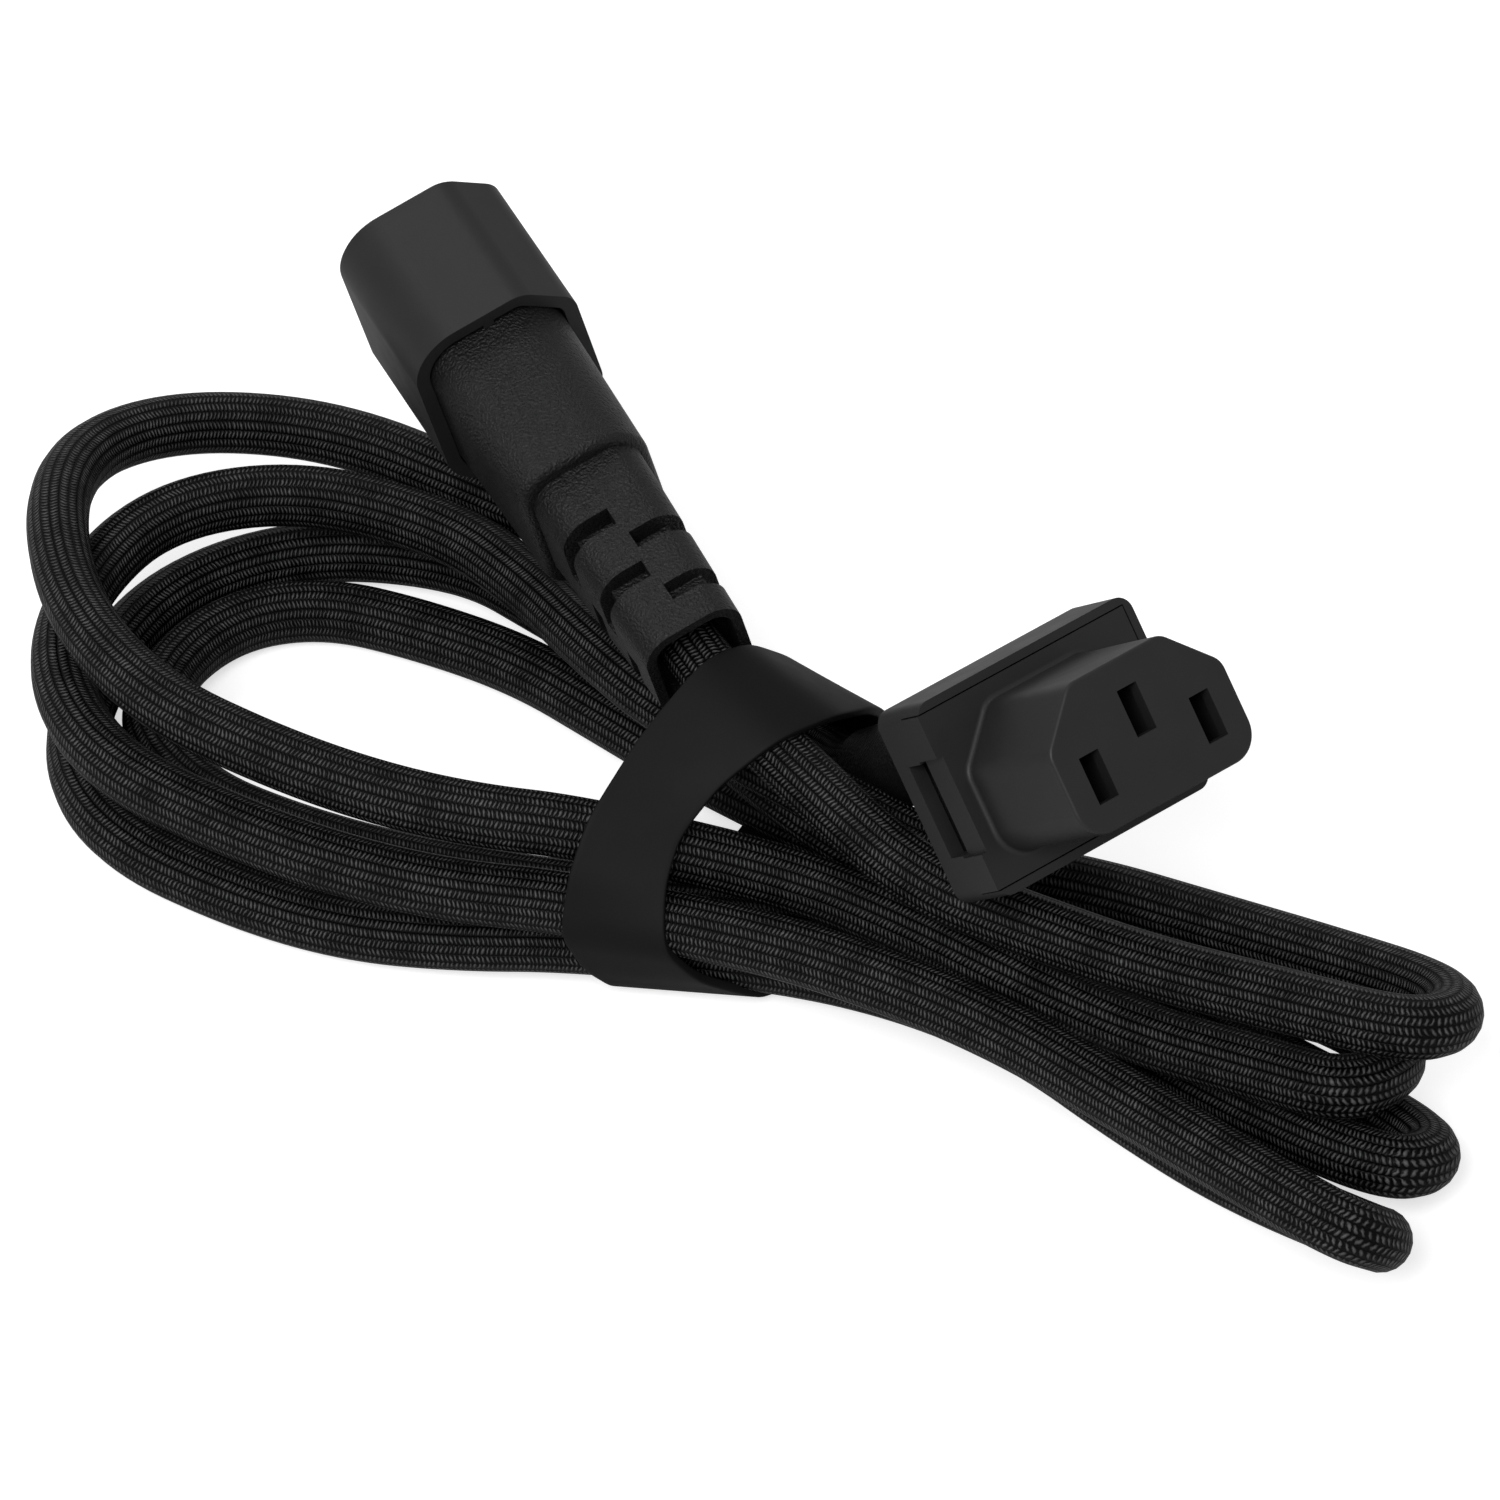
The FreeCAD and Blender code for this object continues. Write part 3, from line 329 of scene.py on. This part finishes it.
# %% A shared group: fine grain with soft cloudiness
grain = bpy.data.node_groups.new("moulded grain", "ShaderNodeTree")
for name in ("Grain Size", "Cloud Size"):
    grain.interface.new_socket(name, in_out="INPUT", socket_type="NodeSocketFloat")
for name in ("Dark", "Pale"):
    grain.interface.new_socket(name, in_out="INPUT", socket_type="NodeSocketColor")
for name in ("Height", "Roughness Shift"):
    grain.interface.new_socket(name, in_out="OUTPUT", socket_type="NodeSocketFloat")
grain.interface.new_socket("Color", in_out="OUTPUT", socket_type="NodeSocketColor")
group_in = grain.nodes.new("NodeGroupInput")
group_out = grain.nodes.new("NodeGroupOutput")
fine = noise_texture(grain, detail=2)
cloud = noise_texture(grain, detail=3)
for noise, size_name in ((fine, "Grain Size"), (cloud, "Cloud Size")):
    join(grain, maths(grain, "DIVIDE", 1.0, group_in.outputs[size_name]), noise.inputs["Scale"])
tint = add(grain, "Mix", data_type="RGBA")
join(grain, cloud.outputs["Fac"], tint.inputs["Factor"])
join(grain, group_in.outputs["Dark"], tint.inputs[6])
join(grain, group_in.outputs["Pale"], tint.inputs[7])
join(grain, fine.outputs["Fac"], group_out.inputs["Height"])
join(grain, tint.outputs[2], group_out.inputs["Color"])
join(grain, maths(grain, "SUBTRACT", cloud.outputs["Fac"], 0.5), group_out.inputs["Roughness Shift"])
print("group", grain.name, "has", len(grain.nodes), "nodes")

# %% A moulded finish built on the group
CLOUD_SIZE = 0.004
CLOUD_ROUGHNESS = 0.15


def moulded(name, dark, pale, roughness, grain_size, grain_depth, specular=0.5):
    """A finish with two tones, a fine grain and soft changes of gloss. Sizes are in metres."""
    material = bpy.data.materials.new(name)
    material.use_nodes = True
    tree = material.node_tree
    shader = tree.nodes["Principled BSDF"]
    pattern = tree.nodes.new("ShaderNodeGroup")
    pattern.node_tree = grain
    pattern.inputs["Grain Size"].default_value = grain_size
    pattern.inputs["Cloud Size"].default_value = CLOUD_SIZE
    pattern.inputs["Dark"].default_value = (*dark, 1)
    pattern.inputs["Pale"].default_value = (*pale, 1)
    bump = add(tree, "Bump")
    bump.inputs["Distance"].default_value = grain_depth
    join(tree, pattern.outputs["Height"], bump.inputs["Height"])
    join(tree, bump.outputs["Normal"], shader.inputs["Normal"])
    join(tree, pattern.outputs["Color"], shader.inputs["Base Color"])
    rough = maths(tree, "MULTIPLY_ADD", pattern.outputs["Roughness Shift"], CLOUD_ROUGHNESS, roughness)
    join(tree, rough, shader.inputs["Roughness"])
    shader.inputs["Specular IOR Level"].default_value = specular
    return material


# %% The four moulded finishes
shell_plastic = moulded(
    "smooth shell plastic", dark=(0.010, 0.010, 0.0105), pale=(0.013, 0.013, 0.0135),
    roughness=0.5, grain_size=0.00012, grain_depth=0.000008, specular=0.3)
grip_plastic = moulded(
    "spark textured grip", dark=(0.004, 0.004, 0.0042), pale=(0.008, 0.008, 0.0082),
    roughness=0.42, grain_size=0.0003, grain_depth=0.0003, specular=0.25)
band_rubber = moulded(
    "satin band rubber", dark=(0.005, 0.005, 0.0052), pale=(0.0065, 0.0065, 0.0067),
    roughness=0.6, grain_size=0.0003, grain_depth=0.000008, specular=0.09)
wire_cover = moulded(
    "wire insulation", dark=(0.03, 0.03, 0.03), pale=(0.04, 0.04, 0.04),
    roughness=0.4, grain_size=0.0003, grain_depth=0.00001)
for finish in (shell_plastic, grip_plastic, band_rubber, wire_cover):
    print("finish", finish.name)

# %% [markdown]
# ## Metal
# The plug's pins are nickel plated, and are bright where the shroud is looked into. The
# connector's contacts sit deep behind their apertures, where little light reaches them, so their
# bright metal is painted near black, as painted shade. Both are the moulded finish with the
# shader made metallic.

# %% Nickel for the pins, and metal painted dark as shade deep in the apertures
def metal(name, dark, pale, roughness):
    material = moulded(name, dark, pale, roughness, grain_size=0.0004, grain_depth=0.000004)
    material.node_tree.nodes["Principled BSDF"].inputs["Metallic"].default_value = 1
    return material


plated = metal("nickel plate", dark=(0.55, 0.53, 0.49), pale=(0.62, 0.6, 0.56), roughness=0.28)
# The contacts' near-black colour is painted shade, not the colour of their metal.
contact_painted_shade = metal("contact metal painted with shade", dark=(0.006, 0.006, 0.006), pale=(0.01, 0.01, 0.01), roughness=0.5)
print("finish", plated.name)
print("finish", contact_painted_shade.name)

# %% [markdown]
# ## The braid
# The jacket is braided from flat yarn in lengthwise ribs. Each rib is a column of short slanted
# stitches, and the ribs slant by turns to the left and to the right, so two of them look like a
# row of Vs. Stitches made as geometry would need millions of faces, so they are a pattern on
# the cord's map. Its height is highest along the middle of each stitch. The colour follows it:
# the gaps between stitches get painted shade, and each stitch crown gets a painted glint that is
# lighter than the black yarn. A little noise shifts each stitch, as yarn does.

# %% The braid's pattern as a group
SHUFFLE_SCALE = 1800
SHUFFLE_REACH = 0.7
PATCH_SCALE = 350
STITCH_SHARE = 0.6

braid = bpy.data.node_groups.new("braided stitches", "ShaderNodeTree")
for name in ("Ribs", "Stitch Length", "Slant"):
    braid.interface.new_socket(name, in_out="INPUT", socket_type="NodeSocketFloat")
for name in ("Height", "Crown", "Yarn Shade"):
    braid.interface.new_socket(name, in_out="OUTPUT", socket_type="NodeSocketFloat")
group_in = braid.nodes.new("NodeGroupInput")
group_out = braid.nodes.new("NodeGroupOutput")
cord_map = add(braid, "UVMap", uv_map="UVMap")
parts = add(braid, "SeparateXYZ")
join(braid, cord_map.outputs["UV"], parts.inputs[0])

# %% The ribs, side by side round the cord
around = maths(braid, "MULTIPLY", parts.outputs["X"], group_in.outputs["Ribs"])
across_rib = maths(braid, "FRACT", around)
odd_rib = maths(braid, "MODULO", maths(braid, "FLOOR", around), 2)
turn = maths(braid, "MULTIPLY_ADD", odd_rib, 2, -1)
off_middle = maths(braid, "SUBTRACT", across_rib, 0.5)
lean = maths(braid, "MULTIPLY", maths(braid, "MULTIPLY", turn, off_middle), group_in.outputs["Slant"])
rib_wave = maths(braid, "SINE", maths(braid, "MULTIPLY", across_rib, math.pi))
rib_crown = maths(braid, "POWER", rib_wave, 0.8)

# %% The stitches, one after another along each rib
stitch_count = maths(braid, "DIVIDE", parts.outputs["Y"], group_in.outputs["Stitch Length"])
shuffle = noise_texture(braid, detail=1)
shuffle.inputs["Scale"].default_value = SHUFFLE_SCALE
unevenness = maths(braid, "MULTIPLY_ADD", shuffle.outputs["Fac"], SHUFFLE_REACH, -SHUFFLE_REACH / 2)
along = maths(braid, "ADD", maths(braid, "ADD", stitch_count, lean), unevenness)
swing = maths(braid, "COSINE", maths(braid, "MULTIPLY", along, 2 * math.pi))
stitch = maths(braid, "POWER", maths(braid, "MULTIPLY_ADD", swing, 0.5, 0.5), 1.2)
stitch_height = maths(braid, "MULTIPLY_ADD", stitch, STITCH_SHARE, 1 - STITCH_SHARE)
patches = noise_texture(braid, detail=3)
patches.inputs["Scale"].default_value = PATCH_SCALE
join(braid, maths(braid, "MULTIPLY", rib_crown, stitch_height), group_out.inputs["Height"])
join(braid, maths(braid, "MULTIPLY", rib_crown, stitch), group_out.inputs["Crown"])
join(braid, patches.outputs["Fac"], group_out.inputs["Yarn Shade"])
print("group", braid.name, "has", len(braid.nodes), "nodes")

# %% The braid's material
RIBS = 20
STITCH_LENGTH = 0.00045
YARN_HEIGHT = 0.00025
GAP_PAINTED_SHADE = (0.0003, 0.0003, 0.0003, 1)
YARN_AND_PAINTED_GLINT = (0.085, 0.085, 0.087, 1)

braid_yarn = bpy.data.materials.new("braided yarn")
braid_yarn.use_nodes = True
tree = braid_yarn.node_tree
shader = tree.nodes["Principled BSDF"]
pattern = tree.nodes.new("ShaderNodeGroup")
pattern.node_tree = braid
pattern.inputs["Ribs"].default_value = RIBS
pattern.inputs["Stitch Length"].default_value = STITCH_LENGTH
pattern.inputs["Slant"].default_value = 0.6
# The ramp paints shade into the gaps and a glint onto the stitch crowns.
gap, yarn = 0, 1
yarn_glint_and_shade = add(tree, "ValToRGB")
ramp = yarn_glint_and_shade.color_ramp.elements
ramp[gap].color = GAP_PAINTED_SHADE
ramp[gap].position = 0.25
ramp[yarn].color = YARN_AND_PAINTED_GLINT
worn = maths(tree, "MULTIPLY_ADD", pattern.outputs["Yarn Shade"], 1.2, 0.3)
shade = maths(tree, "MULTIPLY", pattern.outputs["Crown"], worn)
join(tree, shade, yarn_glint_and_shade.inputs["Fac"])
join(tree, yarn_glint_and_shade.outputs["Color"], shader.inputs["Base Color"])
bump = add(tree, "Bump")
bump.inputs["Distance"].default_value = YARN_HEIGHT
join(tree, pattern.outputs["Height"], bump.inputs["Height"])
join(tree, bump.outputs["Normal"], shader.inputs["Normal"])
shader.inputs["Roughness"].default_value = 0.45
shader.inputs["Specular IOR Level"].default_value = 0.09
print("the braid has", RIBS, "ribs and about", round(cord_length / STITCH_LENGTH), "stitches in each")

# %% [markdown]
# ## Each finish on its pieces
# The fixed nodes arrive with a slot each, so a finish is put into the slot and the mesh stays
# as it is. A short table names the shells and the grips. The wires and the contacts are known
# by the ends of their names, and every other piece, the pins among them, gets nickel.

# %% Put each finish on its pieces
FINISHES = {
    "plug_shroud": shell_plastic,
    "plug_pin_carrier": shell_plastic,
    "connector_face": shell_plastic,
    "connector_housing": shell_plastic,
    "plug_grip": grip_plastic,
    "connector_grip": grip_plastic,
}


def finish_for(name):
    if name in FINISHES:
        return FINISHES[name]
    if name.endswith("_wire"):
        return wire_cover
    if name.endswith("_contact"):
        return contact_painted_shade
    return plated


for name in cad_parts:
    if name in ("braided_cord", "tie_band"):
        continue
    piece = bpy.data.objects[name]
    for slot in piece.material_slots:
        slot.material = finish_for(name)
    print(name, "is finished in", finish_for(name).name)
cord.data.materials.append(braid_yarn)
band.data.materials.append(band_rubber)

# %% [markdown]
# ## The floor
# The cord lies on white paper. The floor is a plain pale sheet that glows a little for the
# camera alone. So the paper looks white, it lights the cord no more than grey card would, and
# the soft shadow round the cord is kept.

# %% The floor
FLOOR_REACH = 4
FLOOR_GLOW = 0.65

mesh_maker = bmesh.new()
bmesh.ops.create_grid(mesh_maker, x_segments=1, y_segments=1, size=FLOOR_REACH)
floor_mesh = bpy.data.meshes.new("floor")
mesh_maker.to_mesh(floor_mesh)
mesh_maker.free()
floor = bpy.data.objects.new("floor", floor_mesh)
bpy.context.scene.collection.objects.link(floor)
floor_paint = bpy.data.materials.new("pale floor")
floor_paint.use_nodes = True
tree = floor_paint.node_tree
floor_shader = tree.nodes["Principled BSDF"]
floor_shader.inputs["Base Color"].default_value = (0.6, 0.6, 0.6, 1)
floor_shader.inputs["Roughness"].default_value = 0.9
floor_shader.inputs["Specular IOR Level"].default_value = 0.1
floor_shader.inputs["Emission Color"].default_value = (1, 1, 1, 1)
rays = add(tree, "LightPath")
seen_glow = maths(tree, "MULTIPLY", rays.outputs["Is Camera Ray"], FLOOR_GLOW)
join(tree, seen_glow, floor_shader.inputs["Emission Strength"])
floor.data.materials.append(floor_paint)
print("the floor reaches", FLOOR_REACH, "m each way")

# %% [markdown]
# ## The light
# A product picture is lit by large soft boxes. The world gives an even light from all round.
# One lamp over the camera lights the faces that point to it, and a weaker one behind puts a
# soft edge on the shroud and the loops.

# %% The lamps and the world
def soft_lamp(name, spot, size, power):
    lamp_data = bpy.data.lights.new(name, "AREA")
    lamp_data.shape = "DISK"
    lamp_data.size = size
    lamp_data.energy = power
    lamp = bpy.data.objects.new(name, lamp_data)
    bpy.context.scene.collection.objects.link(lamp)
    lamp.location = spot
    lamp.rotation_euler = Vector(spot).to_track_quat("Z", "Y").to_euler()
    print(name, "gives", power, "W")


soft_lamp("high rear lamp", spot=(-0.9, 0.6, 1.1), size=0.8, power=4)
soft_lamp("front lamp", spot=(0.0, -0.9, 1.1), size=0.7, power=15)
world = bpy.data.worlds.new("studio")
bpy.context.scene.world = world
world.use_nodes = True
surround = world.node_tree.nodes["Background"]
surround.inputs["Color"].default_value = (1, 1, 1, 1)
surround.inputs["Strength"].default_value = 0.5
bpy.context.scene.view_settings.view_transform = "Standard"
